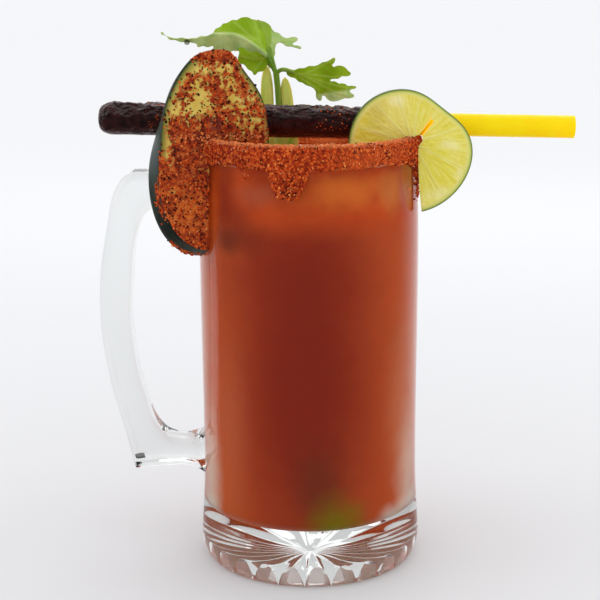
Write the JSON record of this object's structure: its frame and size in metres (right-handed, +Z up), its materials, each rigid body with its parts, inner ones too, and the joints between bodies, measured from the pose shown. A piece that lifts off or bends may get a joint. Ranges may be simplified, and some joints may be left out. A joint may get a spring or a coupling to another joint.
{
  "type": "michelada",
  "caption": "Red beer cocktail in a tall clear handled mug with a chili-crusted rim, cucumber slice, lime wheel, leafy celery stalk and a straw in a tamarind coat.",
  "frame": {"origin": "under the middle of the whole drink, on the surface that the mug stands on", "axes": "+Z up, +X towards the straw's open end with the handle at -X, -Y towards the viewer"},
  "size_m": [0.1953, 0.0932, 0.2266],
  "materials": {
    "glass": "clear, smooth and polished",
    "drink": "cloudy red-brown liquid",
    "chili": "coarse dry chili and salt grains",
    "cucumber": "moist pale flesh with a dark green skin, dusted with chili",
    "lime": "moist translucent pulp with a thin green rind",
    "straw": "smooth yellow plastic",
    "tamarind": "sticky wrinkled dark paste",
    "celery": "fresh green leaves and pale stalk"
  },
  "bodies": {
    "root": {"mug": "glass", "drink": "drink", "chili_rim": "chili", "cucumber_slice": "cucumber", "lime_wheel": "lime", "straw": "straw", "tamarind_coat": "tamarind", "celery": "celery"}
  },
  "joints": []
}
